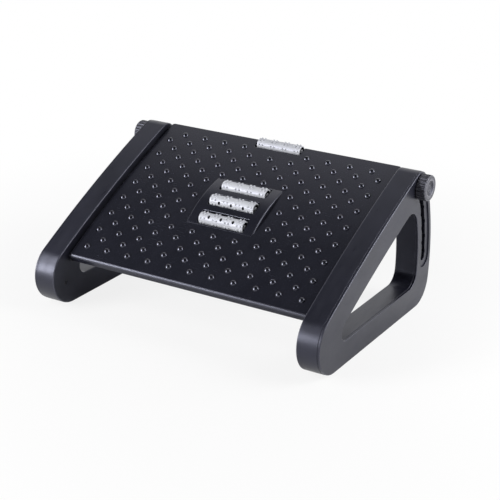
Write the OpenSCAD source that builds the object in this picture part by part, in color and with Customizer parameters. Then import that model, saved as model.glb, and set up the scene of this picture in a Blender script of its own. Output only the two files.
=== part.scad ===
// Tilting under desk footrest: two side frames, a bowed footplate that tilts on a front rod,
// a cross rod clamped by two knobs in notched slots, and four nubbed massage rollers.
// X runs to the right, Y to the back, Z up. The origin is on the floor under the middle.

/* [Side frames] */
// Clear width between the two side frames
frame_gap = 360; // [300:1:420]
// Thickness of one side frame
frame_t = 31.5; // [28:0.5:40]
// Distance from the front pivot forward to the nose
nose_reach = 40.9; // [40:0.1:42]
// Gap under a frame that the rubber pads fill
foot_h = 1; // [0.6:0.1:2]
// Distance from the slot's arc to a frame's rear edge
rear_w = 20.8; // [19.5:0.1:23]
// Radius of the nose
nose_r = 40; // [38:0.5:42]
// Radius of the lower rear corner
heel_r = 36; // [30:1:40]
// Radius of the long convex top strip
strip_r = 1950; // [1800:10:2400]
// Height of the front pivot above the nose's centre
pivot_up = 24.4; // [23:0.2:25.4]
// Wall thickness of a frame shell
wall = 3.2; // [2.4:0.1:4]
// Thickness of the outer cover
cover_t = 3.2; // [2.6:0.1:4]
// Step from the shell's edge in to the cover's edge
seam = 0.25; // [0.1:0.05:0.6]

/* [Window in each frame] */
// Thickness of the sloping bar above the window
bar_t = 37.8; // [35:0.2:40]
// Distance from the slot's arc forward to the window
post_w = 19.8; // [18.5:0.1:22]
// Height of the window's lower edge above the floor
sill_z = 33.5; // [31:0.5:36]
// Corner radius at the window's front
window_front_r = 12; // [9:0.5:14]
// Corner radius at the window's top and lower rear
window_rear_corner_r = 20; // [14:1:24]

/* [Tilt] */
// Tilt of the footplate in the top notch, in degrees
tilt = 25.8; // [25.4:0.1:26.2]
// Tilt of the footplate in the lowest notch, in degrees
tilt_low = 0.4; // [0:0.2:3]
// Number of notches
notch_count = 6; // [4:1:8]
// Radius of the slot's arc about the front pivot
slot_r = 244.3; // [238:0.1:250]
// How far a notch is cut past the slot's side
notch_offset = 1; // [0.4:0.1:1.4]
// Play of the cross rod in the slot, on each side
slot_play = 0.6; // [0.4:0.1:1]
// Free space between a knob's hub and the side of the recess round the slot
track_gap = 1.5; // [0.8:0.1:2]
// Depth of the recess round the slot
track_depth = 1.6; // [1:0.1:1.8]

/* [Footplate] */
// Free space between the footplate and each side frame
plate_side_gap = 2; // [1.5:0.1:3]
// How far the plate's rear edge lies behind the cross rod
plate_rear = 19.7; // [18.5:0.1:21]
// How far the plate's front edge lies ahead of the pivot
plate_front = 8; // [7.2:0.1:8.6]
// Height of the plate's crown above the line from the pivot to the cross rod
crown = 15; // [14.6:0.1:15.6]
// Radius of the plate's bow
plate_r = 1700; // [1500:10:2000]
// Thickness of the plate's skin
skin_t = 3; // [2.4:0.1:3.4]
// Depth of the plate's rim
rim_depth = 9.2; // [8.6:0.1:9.6]
// Thickness of the ribs under the plate
rib_t = 2.4; // [1.8:0.1:3]
// Corner radius of the plate seen from above
plate_corner_r = 4; // [2:0.5:6]
// Radius of the rolled front lip
lip_r = 3.4; // [2:0.2:4]

/* [Bumps] */
// Width of one bump at its foot
bump_d = 9; // [7:0.5:10]
// Height of one bump
bump_h = 3.2; // [2:0.1:3.8]
// Distance between bumps along a row
bump_pitch = 32.1; // [30:0.5:34]
// Distance between rows
row_pitch = 15.4; // [14.8:0.1:15.6]
// Distance from the front edge to the first row
row_start = 20.5; // [19:0.5:21.5]
// Least distance from the last row to the rear edge
row_end = 20; // [16:0.5:20]
// Least distance from a row's last bump to the plate's side
bump_side = 16; // [12:0.5:17]

/* [Roller island] */
// Width of the island beside the rollers' bays
island_side = 15; // [11:0.5:18]
// Length of the island ahead of the first bay and behind the last
island_end = 4.1; // [3.6:0.1:6]
// Distance from the plate's front edge to the island's middle
island_mid = 139.7; // [138:0.5:141]
// Height of the island's crown above the plate's crown
island_rise = 4.9; // [4.6:0.1:5.4]
// Radius of the island's arch
island_r = 172; // [165:1:180]

/* [Rollers] */
// Diameter of a roller without its nubs
roller_d = 16; // [14:0.2:16.4]
// Length of a roller
roller_l = 66; // [60:1:68]
// Distance between the island's rollers
roller_pitch = 30.6; // [30:0.1:31.2]
// Depth of the middle roller's axis under the island's crown
roller_sink = 2.3; // [2:0.1:3]
// Drop of the outer rollers' axes from the middle one
roller_drop = 3.5; // [3:0.1:3.8]
// Free space between a roller's nubs and its slot
roller_gap = 1; // [0.6:0.1:1.4]
// Free space at each end of a roller
roller_end_gap = 2; // [1.2:0.2:3]
// Distance from the plate's rear edge forward to the edge roller's axis
edge_roller_in = 5.9; // [5.6:0.1:6.4]
// Height of the edge roller's axis above the line from the pivot to the cross rod
edge_roller_n = 7.1; // [6.6:0.1:7.6]
// Diameter of a roller's steel axle
axle_d = 3; // [2.4:0.1:3.4]
// Groups of nubs along a roller
nub_groups = 4; // [3:1:5]
// Rows of nubs round a roller
nub_rows = 8; // [6:1:10]
// Distance between the two nubs of a pair
nub_gap = 5; // [4:0.5:6]
// Width of a nub at its foot
nub_d = 2.6; // [2:0.1:3]
// Height of a nub
nub_h = 1.3; // [0.8:0.1:1.6]
// Distance from a roller's end to the middle of its last group
group_end = 5.7; // [4.6:0.1:7]

/* [Rods and knobs] */
// Diameter of the cross rod
rod_d = 8; // [7:0.2:8.4]
// Diameter of the front pivot rod
pivot_rod_d = 6; // [5:0.2:6.4]
// Diameter of a knob
knob_d = 34; // [30:0.5:34.5]
// Distance from a frame's outer face to the knob's end
knob_reach = 13.7; // [12:0.1:16]
// Diameter of the knob's hub that stands in the recess
knob_hub_d = 25; // [20:0.5:25.4]
// Number of flutes round a knob
flute_count = 20; // [12:1:24]
// Diameter of a flute
flute_d = 3; // [2:0.1:3.6]
// Diameter of the dish in the knob's end
dish_d = 20; // [16:0.5:22]
// Depth of the dish in the knob's end
dish_depth = 2.4; // [1.5:0.1:2.6]
// Diameter of the brass nut moulded into a knob
nut_d = 13; // [12:0.2:15]
// Thickness of the knob between the brass nut and the dish
knob_floor = 2.3; // [1.6:0.1:4]
// How much smaller the washer's radius is than the knob hub's
washer_in = 0.5; // [0.2:0.1:2]
// Thickness of the washer under a knob
washer_t = 1; // [0.6:0.1:1.2]

/* [Hidden] */
$fn = 64;
small = 24;
fine = 360;
broad = 1440;
// Overrun of every cut, and the clearances that the pieces share
over = 1;
seat_gap = 0.3;
run_gap = 0.05;
clear_gap = 0.4;
joint_gap = 0.1;
// Colours
stand_black = [0.16, 0.16, 0.18];
plate_black = [0.13, 0.13, 0.15];
roller_white = [0.9, 0.91, 0.93];
rubber_black = [0.07, 0.07, 0.07];
steel = [0.7, 0.71, 0.73];
screw_black = [0.1, 0.1, 0.11];
brass = [0.78, 0.62, 0.3];

// Planes across the right-hand frame
inner_x = frame_gap / 2;
outer_x = inner_x + frame_t;
split_x = outer_x - cover_t;
track_x = outer_x - track_depth;

// Arcs about the front pivot, and the depth and recess that follow from them
rear_r = slot_r + rear_w;
window_rear_r = slot_r - post_w;
stand_depth = nose_reach + rear_r;
track_half = knob_hub_d / 2 + track_gap;
washer_d = knob_hub_d - 2 * washer_in;

// The front pivot, and points given along the slope (t) and square to it (n)
pivot = [stand_depth / 2 - rear_r, foot_h + nose_r + pivot_up];
along = [cos(tilt), sin(tilt)];
square_to = [-sin(tilt), cos(tilt)];
function at(t, n) = pivot + t * along + n * square_to;
function unit(v) = v / norm(v);
function heading(v) = atan2(v[1], v[0]);
function dot(a, b) = a[0] * b[0] + a[1] * b[1];

// The upper of the two points where two circles cross
function crossing(c1, r1, c2, r2) =
    let (gap = c2 - c1, d = norm(gap), u = gap / d, v = [-u[1], u[0]],
         a = (d * d + r1 * r1 - r2 * r2) / (2 * d), h = sqrt(r1 * r1 - a * a),
         p = c1 + a * u + h * v, q = c1 + a * u - h * v)
    p[1] > q[1] ? p : q;

// Centres of the frame's arcs. The strip touches the nose, so its centre follows from it.
nose_c = [-stand_depth / 2 + nose_r, foot_h + nose_r];
strip_reach = at(slot_r / 2, 0) - nose_c;
strip_lean = dot(strip_reach, square_to);
strip_n = -strip_lean
    - sqrt(pow(strip_lean, 2) - dot(strip_reach, strip_reach) + pow(strip_r - nose_r, 2));
strip_c = at(slot_r / 2, strip_n);
top_r = rear_r - slot_r;
top_c = crossing(pivot, rear_r - top_r, strip_c, strip_r - top_r);
heel_z = foot_h + heel_r;
heel_c = [pivot[0] + sqrt(pow(rear_r - heel_r, 2) - pow(heel_z - pivot[1], 2)), heel_z];

// Centres of the window's arcs
window_strip_r = strip_r - bar_t;
window_front_z = sill_z + window_front_r;
window_front_reach = window_strip_r - window_front_r;
window_front_c = [
    strip_c[0] - sqrt(pow(window_front_reach, 2) - pow(window_front_z - strip_c[1], 2)),
    window_front_z
];
window_top_c = crossing(pivot, window_rear_r - window_rear_corner_r,
                        strip_c, window_strip_r - window_rear_corner_r);
window_heel_z = sill_z + window_rear_corner_r;
window_heel_reach = window_rear_r - window_rear_corner_r;
window_heel_c = [
    pivot[0] + sqrt(pow(window_heel_reach, 2) - pow(window_heel_z - pivot[1], 2)),
    window_heel_z
];

// Notches of the slot
notch_step = (tilt - tilt_low) / (notch_count - 1);
notch_angles = [for (i = [0 : notch_count - 1]) tilt_low + i * notch_step];
slot_half = rod_d / 2 + slot_play;
notch_r = slot_half + slot_play / 2;
bulge_turn_share = 0.28;

// Cover screws, their posts and where they stand
screw_d = 3;
screw_head_d = 5.8;
screw_head_t = 2;
screw_l = 15;
post_d = 7;
bar_mid_r = strip_r - bar_t / 2;
function bar_point(share) = strip_c + bar_mid_r * unit(at(slot_r * share, 0) - strip_c);
low_bar_z = (foot_h + sill_z) / 2;
bar_screw_shares = [0.24, 0.7];
nose_screw_shares = [-0.36, -0.2];
heel_screw_shares = [0.02, -0.22];
sill_screw_share = 0.02;
screw_points = [
    bar_point(bar_screw_shares[0]), bar_point(bar_screw_shares[1]),
    nose_c + nose_r * nose_screw_shares,
    [stand_depth * sill_screw_share, low_bar_z],
    heel_c + heel_r * heel_screw_shares
];

// Ribs inside a frame shell
shell_rib_t = 2;
bar_rib_shares = [0.12, 0.4, 0.56, 0.84];
sill_rib_shares = [-0.24, -0.08, 0.14, 0.26];

// Rubber pads
pad_l = 44;
pad_w = 18;
pad_sink = 1.8;
pad_y_share = 0.28;
pad_y = stand_depth * pad_y_share;

// Front pivot: bush in the frame, rod in the bush
bush_d = 10;
bush_l = 12;
flange_d = 15;
boss_d = bush_d + 2 * wall;
pivot_rod_l = frame_gap + 2 * (bush_l - wall);

// Footplate in its own slope frame: t from the pivot, n square to it
plate_w = frame_gap - 2 * plate_side_gap;
plate_t0 = -plate_front;
plate_t1 = slot_r + plate_rear;
plate_l = plate_t1 - plate_t0;
row_count = 1 + floor((plate_l - row_start - row_end) / row_pitch);
row_bumps = 1 + floor((plate_w - 2 * bump_side) / bump_pitch);
plate_mid = (plate_t0 + plate_t1) / 2;
plate_c = [plate_mid, crown - plate_r];
function plate_n(t, inset = 0) =
    plate_c[1] + sqrt(pow(plate_r - inset, 2) - pow(t - plate_c[0], 2));
plate_ribs_x_shares = [-0.36, -0.2, 0.2, 0.36];
plate_ribs_t_shares = [0.14, 0.27, 0.72, 0.83];
lug_t = 8;
lug_x_shares = [-0.478, -0.24, 0.24, 0.478];
lug_wall = 2.5;
hang = 2 * crown;

// Island and its rollers
roller_half = roller_d / 2 + nub_h + roller_gap;
roller_bay = roller_l + 2 * roller_end_gap;
island_w = roller_bay + 2 * island_side;
island_l = 2 * (roller_pitch + roller_half + island_end);
island_t = island_mid - plate_front;
island_n = crown + island_rise;
island_c = [island_t, island_n - island_r];
middle_n = island_n - roller_sink;
outer_n = middle_n - roller_drop;
axle_arc_r = (pow(roller_pitch, 2) + pow(roller_drop, 2)) / (2 * roller_drop);
axle_arc_c = [island_t, middle_n - axle_arc_r];
roller_spots = [
    [island_t - roller_pitch, outer_n], [island_t, middle_n],
    [island_t + roller_pitch, outer_n]
];
edge_spot = [plate_t1 - edge_roller_in, edge_roller_n];
notch_t = edge_spot[0] - roller_half;
group_pitch = (roller_l - 2 * group_end) / (nub_groups - 1);
cheek_t = 4;
cheek_x = (roller_bay + cheek_t) / 2;
axle_l = roller_bay + 2 * cheek_t;
island_wall = 3;
roller_bore_d = axle_d + 2 * run_gap;
axle_seat_d = axle_d + 2 * run_gap;
nub_top_share = 0.5;
slot_hole_d = 2.4;
slot_hole_l = 4.4;
slot_hole_depth = 3;
nub_sink = 0.4;
nub_turn_share = 0.5;
roller_turns = [22, 61, 205];
edge_roller_turn = 120;

// Retainer under the island
retainer_drop = 12.6;
retainer_lap = 6;
retainer_n = middle_n - retainer_drop;
retainer_bar_t = 3;
retainer_end = island_l / 2 + retainer_lap;
end_bar_w = 8.4;
cross_bar_w = 7;
retainer_screw_in = 12;
retainer_screw_x = cheek_x - retainer_screw_in;
retainer_screw_t = retainer_end - end_bar_w / 2;
retainer_screw_l = 8;
retainer_room_x = cheek_x + cheek_t / 2 + clear_gap;
retainer_room_t = retainer_end + clear_gap;
retainer_boss_d = 7;
boss_foot = retainer_n + retainer_bar_t + joint_gap;
boss_top = plate_n(island_t + retainer_end) - skin_t / 2;

// Cross rod, spacers, washers and knobs
nut_bore_d = rod_d + 2 * run_gap;
spacer_d = 16;
spacer_t = plate_side_gap - seat_gap;
washer_x = track_x + seat_gap;
hub_x = washer_x + washer_t + seat_gap;
knob_x = outer_x + seat_gap + clear_gap;
knob_end_x = outer_x + knob_reach;
nut_x = hub_x;
nut_l = knob_end_x - dish_depth - knob_floor - nut_x;
rod_end_x = nut_x + nut_l - over;
knob_edge = 1.6;
dish_floor_share = 0.7;
flute_out_share = 0.17;
rod_c = at(slot_r, 0);

// A wedge-shaped cut that rounds one corner of an outline about the centre c
module round_corner(c, r, from, to) {
    reach = 2 * stand_depth;
    turn = (to - from) / 4;
    difference() {
        polygon(concat([c], [for (i = [0 : 4])
            c + reach * [cos(from + i * turn), sin(from + i * turn)]]));
        translate(c) circle(r = r, $fn = fine);
    }
}

// Outline of a side frame in the Y Z plane, all round smaller by inset
module frame_outline(inset = 0) {
    difference() {
        intersection() {
            translate(strip_c) circle(r = strip_r - inset, $fn = broad);
            translate(pivot) circle(r = rear_r - inset, $fn = fine);
            translate([-stand_depth, foot_h + inset]) square(2 * stand_depth);
        }
        round_corner(nose_c, nose_r - inset, heading(nose_c - strip_c), 270);
        round_corner(heel_c, heel_r - inset, -90, heading(heel_c - pivot));
        round_corner(top_c, top_r - inset, heading(top_c - pivot), heading(top_c - strip_c));
    }
}

// Outline of the window, all round larger by grow
module window_outline(grow = 0) {
    difference() {
        intersection() {
            translate(strip_c) circle(r = window_strip_r + grow, $fn = broad);
            translate(pivot) circle(r = window_rear_r + grow, $fn = fine);
            translate([-stand_depth, sill_z - grow]) square(2 * stand_depth);
        }
        round_corner(window_front_c, window_front_r + grow,
                     heading(window_front_c - strip_c), 270);
        round_corner(window_heel_c, window_rear_corner_r + grow,
                     -90, heading(window_heel_c - pivot));
        round_corner(window_top_c, window_rear_corner_r + grow,
                     heading(window_top_c - pivot), heading(window_top_c - strip_c));
    }
}

// A band of the given half width along the slot's arc, with round ends
module arc_band(half) {
    reach = 2 * slot_r;
    low = notch_angles[0];
    high = notch_angles[notch_count - 1];
    intersection() {
        difference() {
            translate(pivot) circle(r = slot_r + half, $fn = fine);
            translate(pivot) circle(r = slot_r - half, $fn = fine);
        }
        polygon([pivot, pivot + reach * [cos(low), sin(low)], pivot + reach * [cos(high), sin(high)]]);
    }
    for (a = [low, high]) translate(pivot + slot_r * [cos(a), sin(a)]) circle(r = half);
}

// The notched slot: pockets on its front side, and bulges a little higher on its rear side
module slot_outline(grow = 0) {
    arc_band(slot_half + grow);
    for (a = notch_angles)
        translate(pivot + (slot_r - notch_offset) * [cos(a), sin(a)]) circle(r = notch_r + grow);
    for (i = [0 : notch_count - 2]) {
        a = notch_angles[i] + notch_step * bulge_turn_share;
        translate(pivot + (slot_r + notch_offset) * [cos(a), sin(a)]) circle(r = notch_r + grow);
    }
}

// Ribs across the bars of a frame shell
module shell_rib_lines() {
    for (s = bar_rib_shares)
        translate(bar_point(s)) rotate(heading(bar_point(s) - strip_c))
            square([2 * bar_t, shell_rib_t], center = true);
    for (s = sill_rib_shares)
        translate([stand_depth * s, low_bar_z])
            square([shell_rib_t, 2 * sill_z], center = true);
}

// Space inside a frame shell
module shell_cavity_outline() {
    difference() {
        frame_outline(wall);
        window_outline(wall);
        slot_outline(wall);
        translate(pivot) circle(d = boss_d);
        intersection() {
            shell_rib_lines();
            difference() {
                frame_outline(wall / 2);
                slot_outline();
                for (p = screw_points) translate(p) circle(d = post_d + 2 * clear_gap);
            }
        }
    }
}

// Extrudes an outline in the Y Z plane from one X plane to another
module across(x0, x1) {
    translate([x0, 0, 0]) rotate([90, 0, 90]) linear_extrude(height = x1 - x0) children();
}

// A round bar along X from one plane to another
module bar_x(d, x0, x1) {
    translate([x0, 0, 0]) rotate([0, 90, 0]) cylinder(d = d, h = x1 - x0);
}

// Places children at a point of the Y Z plane
module at_point(p) {
    translate([0, p[0], p[1]]) children();
}

// Turns children from the plate's own level frame into its rest tilt
module on_slope() {
    at_point(pivot) rotate([tilt, 0, 0]) children();
}

// Mirrors the right-hand children to the left
module left_of() {
    mirror([1, 0, 0]) children();
}

// A rubber pad, flat underneath, that reaches up into its pocket in the shell
module pad(side) {
    straight = pad_l - pad_w;
    color(rubber_black) translate([inner_x + (frame_t - cover_t) / 2, side * pad_y, 0])
        linear_extrude(height = foot_h + pad_sink) {
            square([pad_w, straight], center = true);
            for (end = [-1, 1]) translate([0, end * straight / 2]) circle(d = pad_w);
        }
}

module shell() {
    color(stand_black) difference() {
        across(inner_x, split_x) difference() {
            frame_outline();
            window_outline();
        }
        across(inner_x + wall, split_x + over) shell_cavity_outline();
        across(inner_x - over, split_x + over) slot_outline();
        at_point(pivot) bar_x(bush_d, inner_x - over, inner_x + bush_l);
        for (p = screw_points) at_point(p) {
            bar_x(screw_d + clear_gap, inner_x - over, inner_x + wall + over);
            bar_x(screw_head_d + clear_gap, inner_x - over, inner_x + screw_head_t);
        }
        for (side = [-1, 1]) pad(side);
    }
}

module cover() {
    color(stand_black) difference() {
        union() {
            across(split_x, outer_x) difference() {
                frame_outline(seam);
                window_outline(seam);
            }
            for (p = screw_points) at_point(p) bar_x(post_d, inner_x + wall, split_x + over);
        }
        across(split_x - over, outer_x + over) slot_outline();
        across(track_x, outer_x + over) arc_band(track_half);
        for (p = screw_points) at_point(p)
            bar_x(screw_d + 2 * run_gap, inner_x, inner_x + screw_l + over);
    }
}

module cover_screws() {
    color(screw_black) for (p = screw_points) at_point(p) {
        bar_x(screw_head_d, inner_x + seat_gap, inner_x + screw_head_t);
        bar_x(screw_d, inner_x + screw_head_t / 2, inner_x + screw_l);
    }
}

module pivot_bush() {
    color(plate_black) at_point(pivot) difference() {
        union() {
            bar_x(bush_d, inner_x - over, inner_x + bush_l);
            bar_x(flange_d, inner_x - plate_side_gap + seat_gap, inner_x);
        }
        bar_x(pivot_rod_d + 2 * run_gap, inner_x - plate_side_gap - over, inner_x + bush_l - over);
    }
}

module pivot_rod() {
    color(steel) at_point(pivot) bar_x(pivot_rod_d, -pivot_rod_l / 2, pivot_rod_l / 2);
}

// A slab of the plate under its bowed top, as deep as given, between two places along the slope
module bowed_slab(w, depth, t0, t1, top = 0) {
    translate([-w / 2, 0, 0]) across(0, w) intersection() {
        difference() {
            translate(plate_c) circle(r = plate_r - top, $fn = broad);
            translate(plate_c) circle(r = plate_r - depth, $fn = broad);
        }
        translate([t0, -hang]) square([t1 - t0, 2 * hang]);
    }
}

// Everything ahead of and above the rolled front lip
module lip_cut() {
    c = [plate_t0 + lip_r,
         plate_c[1] + sqrt(pow(plate_r - lip_r, 2) - pow(plate_t0 + lip_r - plate_c[0], 2))];
    translate([-plate_w, 0, 0]) across(0, 2 * plate_w)
        round_corner(c, lip_r, heading(c - plate_c), 180);
}

module plate_plan() {
    straight_w = plate_w - 2 * plate_corner_r;
    straight_l = plate_l - 2 * plate_corner_r;
    translate([0, plate_mid]) {
        square([plate_w, straight_l], center = true);
        square([straight_w, plate_l], center = true);
        for (x = [-1, 1], y = [-1, 1])
            translate([x * straight_w / 2, y * straight_l / 2]) circle(r = plate_corner_r);
    }
}

module plate_tray() {
    difference() {
        intersection() {
            bowed_slab(plate_w, rim_depth, plate_t0, plate_t1);
            translate([0, 0, -hang]) linear_extrude(height = 2 * hang) plate_plan();
        }
        lip_cut();
        bowed_slab(plate_w - 2 * skin_t, rim_depth + over, plate_t0 + skin_t, plate_t1 - skin_t, skin_t);
    }
}

module plate_ribs() {
    difference() {
        union() {
            for (s = plate_ribs_x_shares) translate([plate_w * s, 0, 0])
                bowed_slab(rib_t, rim_depth, plate_t0 + skin_t / 2, plate_t1 - skin_t / 2, skin_t / 2);
            for (s = plate_ribs_t_shares)
                bowed_slab(plate_w - skin_t, rim_depth, plate_l * s, plate_l * s + rib_t, skin_t / 2);
        }
        translate([-retainer_room_x, island_t - retainer_room_t, -hang])
            cube([2 * retainer_room_x, 2 * retainer_room_t, hang + boss_foot]);
    }
    bowed_slab(roller_bay + 2 * skin_t, rim_depth, notch_t - skin_t, plate_t1, skin_t / 2);
}

// Lugs that hang from the skin round a cross rod
module rod_lugs(t, d) {
    r = d / 2 + lug_wall;
    for (s = lug_x_shares) translate([plate_w * s - lug_t / 2, 0, 0]) across(0, lug_t) {
        translate([t, 0]) circle(r = r);
        intersection() {
            translate([max(t - r, plate_t0 + skin_t / 2), 0]) square([2 * r, hang]);
            translate(plate_c) circle(r = plate_r - skin_t / 2, $fn = broad);
        }
    }
}

// One bump: a cap of a ball on a short foot
module bump() {
    ball = (pow(bump_d / 2, 2) + pow(bump_h, 2)) / (2 * bump_h);
    foot = skin_t / 4;
    rotate_extrude() intersection() {
        translate([0, bump_h - ball]) circle(r = ball);
        translate([0, -foot]) square([bump_d / 2, bump_h + 2 * foot]);
    }
}

module bumps() {
    keep_x = island_w / 2 + bump_d / 2;
    keep_t = island_l / 2 + bump_d / 2;
    for (row = [0 : row_count - 1]) {
        long = row % 2 == 0;
        count = long ? row_bumps : row_bumps - 1;
        t = plate_t0 + row_start + row * row_pitch;
        for (i = [0 : count - 1]) {
            x = (i - (count - 1) / 2) * bump_pitch;
            on_island = abs(x) < keep_x && abs(t - island_t) < keep_t;
            in_notch = abs(x) < cheek_x && t > notch_t - bump_d;
            if (!on_island && !in_notch)
                translate([x, t, plate_n(t)])
                    rotate([asin((plate_c[0] - t) / plate_r), 0, 0]) bump();
        }
    }
}

// The raised island down to the underside of the plate's skin
module island_block() {
    translate([-island_w / 2, 0, 0]) across(0, island_w) difference() {
        intersection() {
            translate(island_c) circle(r = island_r, $fn = fine);
            translate([island_t - island_l / 2, 0]) square([island_l, hang]);
        }
        translate(plate_c) circle(r = plate_r - skin_t, $fn = broad);
    }
}

// The hollow under the island, open downwards
module island_hollow() {
    half_w = island_w / 2 - island_wall;
    half_l = island_l / 2 - island_wall;
    translate([-half_w, 0, 0]) across(0, 2 * half_w) intersection() {
        translate(island_c) circle(r = island_r - island_wall, $fn = fine);
        translate([island_t - half_l, -hang]) square([2 * half_l, 3 * hang]);
    }
}

// Room under the axles' arc for the retainer's pads
module pad_room() {
    half_l = island_l / 2 - island_wall;
    room = cheek_t + 2 * clear_gap;
    for (side = [-1, 1]) translate([side * cheek_x - room / 2, 0, 0]) across(0, room) intersection() {
        translate(axle_arc_c) circle(r = axle_arc_r, $fn = fine);
        translate([island_t - half_l, 0]) square([2 * half_l, hang]);
    }
}

// Cheeks under the island's skin that the axles bear up against
module cheeks() {
    for (side = [-1, 1]) translate([side * cheek_x - cheek_t / 2, 0, 0]) across(0, cheek_t)
        intersection() {
            difference() {
                translate(island_c) circle(r = island_r - island_wall / 2, $fn = fine);
                translate(axle_arc_c) circle(r = axle_arc_r, $fn = fine);
            }
            translate([island_t - island_l / 2 + island_wall / 2, 0])
                square([island_l - island_wall, 2 * hang]);
        }
}

// Cheeks at the two ends of the rear notch
module edge_cheeks() {
    r = axle_d / 2 + lug_wall;
    for (side = [-1, 1]) translate([side * cheek_x - cheek_t / 2, 0, 0]) across(0, cheek_t) {
        translate(edge_spot) circle(r = r);
        intersection() {
            translate([edge_spot[0] - r, edge_spot[1]]) square([2 * r, hang]);
            translate(plate_c) circle(r = plate_r - skin_t / 2, $fn = broad);
            square([plate_t1, hang]);
        }
    }
}

module retainer_bosses() {
    for (x = [-1, 1], t = [-1, 1])
        translate([x * retainer_screw_x, island_t + t * retainer_screw_t, boss_foot])
            cylinder(d = retainer_boss_d, h = boss_top - boss_foot);
}

// Spaces that the four rollers turn in
module roller_bays() {
    for (p = roller_spots)
        translate([-roller_bay / 2, p[0] - roller_half, 0]) cube([roller_bay, 2 * roller_half, 2 * hang]);
    translate([-roller_bay / 2, notch_t, -hang])
        cube([roller_bay, 4 * roller_half, 3 * hang]);
}

module footplate() {
    color(plate_black) on_slope() difference() {
        union() {
            difference() {
                union() {
                    plate_tray();
                    plate_ribs();
                    island_block();
                }
                island_hollow();
                pad_room();
            }
            difference() {
                cheeks();
                roller_bays();
            }
            retainer_bosses();
            edge_cheeks();
            rod_lugs(0, pivot_rod_d);
            rod_lugs(slot_r, rod_d);
            bumps();
        }
        roller_bays();
        for (p = concat(roller_spots, [edge_spot])) at_point(p)
            bar_x(axle_seat_d, -axle_l / 2 - over, axle_l / 2 + over);
        bar_x(pivot_rod_d + 2 * run_gap, -plate_w, plate_w);
        at_point([slot_r, 0]) bar_x(rod_d + 2 * run_gap, -plate_w, plate_w);
        for (x = [-1, 1], t = [-1, 1])
            translate([x * retainer_screw_x, island_t + t * retainer_screw_t, retainer_n])
                cylinder(d = screw_d + 2 * run_gap, h = retainer_screw_l);
    }
}

// One nubbed roller along X about its own middle
module roller_body() {
    color(roller_white) difference() {
        union() {
            bar_x(roller_d, -roller_l / 2, roller_l / 2);
            for (g = [0 : nub_groups - 1], r = [0 : nub_rows - 1], side = [-1, 1])
                translate([(g - (nub_groups - 1) / 2) * group_pitch + side * nub_gap / 2, 0, 0])
                    rotate([(r + nub_turn_share) * 360 / nub_rows, 0, 0])
                        translate([0, 0, roller_d / 2 - nub_sink])
                            cylinder(d1 = nub_d, d2 = nub_d * nub_top_share,
                                     h = nub_h + nub_sink, $fn = small);
        }
        bar_x(roller_bore_d, -roller_l, roller_l);
        for (g = [1 : nub_groups - 1])
            translate([(g - nub_groups / 2) * group_pitch, 0, roller_d / 2 - slot_hole_depth])
                linear_extrude(height = roller_d) {
                    square([slot_hole_d, slot_hole_l - slot_hole_d], center = true);
                    for (side = [-1, 1]) translate([0, side * (slot_hole_l - slot_hole_d) / 2])
                        circle(d = slot_hole_d);
                }
    }
}

module roller_at(p, turn) {
    on_slope() at_point(p) rotate([turn, 0, 0]) roller_body();
}

module axle_at(p) {
    color(steel) on_slope() at_point(p) bar_x(axle_d, -axle_l / 2, axle_l / 2);
}

module roller_retainer() {
    color(plate_black) on_slope() difference() {
        union() {
            for (side = [-1, 1]) translate([side * cheek_x - cheek_t / 2, 0, 0]) across(0, cheek_t)
                intersection() {
                    translate(axle_arc_c) circle(r = axle_arc_r - joint_gap, $fn = fine);
                    translate([island_t - island_l / 2 + island_wall + clear_gap, retainer_n])
                        square([island_l - 2 * (island_wall + clear_gap), hang]);
                }
            for (side = [-1, 1]) translate([-cheek_x - cheek_t / 2,
                    island_t + side * retainer_screw_t - end_bar_w / 2, retainer_n])
                cube([2 * cheek_x + cheek_t, end_bar_w, retainer_bar_t]);
            for (side = [-1, 1]) translate([side * cheek_x - cheek_t / 2,
                    island_t - retainer_end + end_bar_w / 2, retainer_n])
                cube([cheek_t, 2 * retainer_end - end_bar_w, retainer_bar_t]);
            for (side = [-1, 1]) translate([-cheek_x, island_t + side * roller_pitch / 2 - cross_bar_w / 2,
                    retainer_n])
                cube([2 * cheek_x, cross_bar_w, retainer_bar_t]);
        }
        for (p = roller_spots) at_point(p) bar_x(axle_seat_d, -axle_l / 2 - over, axle_l / 2 + over);
        for (x = [-1, 1], t = [-1, 1])
            translate([x * retainer_screw_x, island_t + t * retainer_screw_t, retainer_n - over])
                cylinder(d = screw_d + clear_gap, h = retainer_bar_t + 2 * over);
    }
}

module retainer_screws() {
    color(steel) on_slope() for (x = [-1, 1], t = [-1, 1])
        translate([x * retainer_screw_x, island_t + t * retainer_screw_t, retainer_n - screw_head_t]) {
            cylinder(d = screw_head_d, h = screw_head_t);
            cylinder(d = screw_d, h = screw_head_t + retainer_screw_l - over);
        }
}

module height_rod() {
    color(steel) at_point(rod_c) bar_x(rod_d, -rod_end_x, rod_end_x);
}

module rod_spacer() {
    color(plate_black) at_point(rod_c) difference() {
        bar_x(spacer_d, plate_w / 2, plate_w / 2 + spacer_t);
        bar_x(rod_d + 2 * run_gap, 0, outer_x);
    }
}

module washer() {
    color(steel) at_point(rod_c) difference() {
        bar_x(washer_d, washer_x, washer_x + washer_t);
        bar_x(rod_d + clear_gap, 0, outer_x);
    }
}

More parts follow.
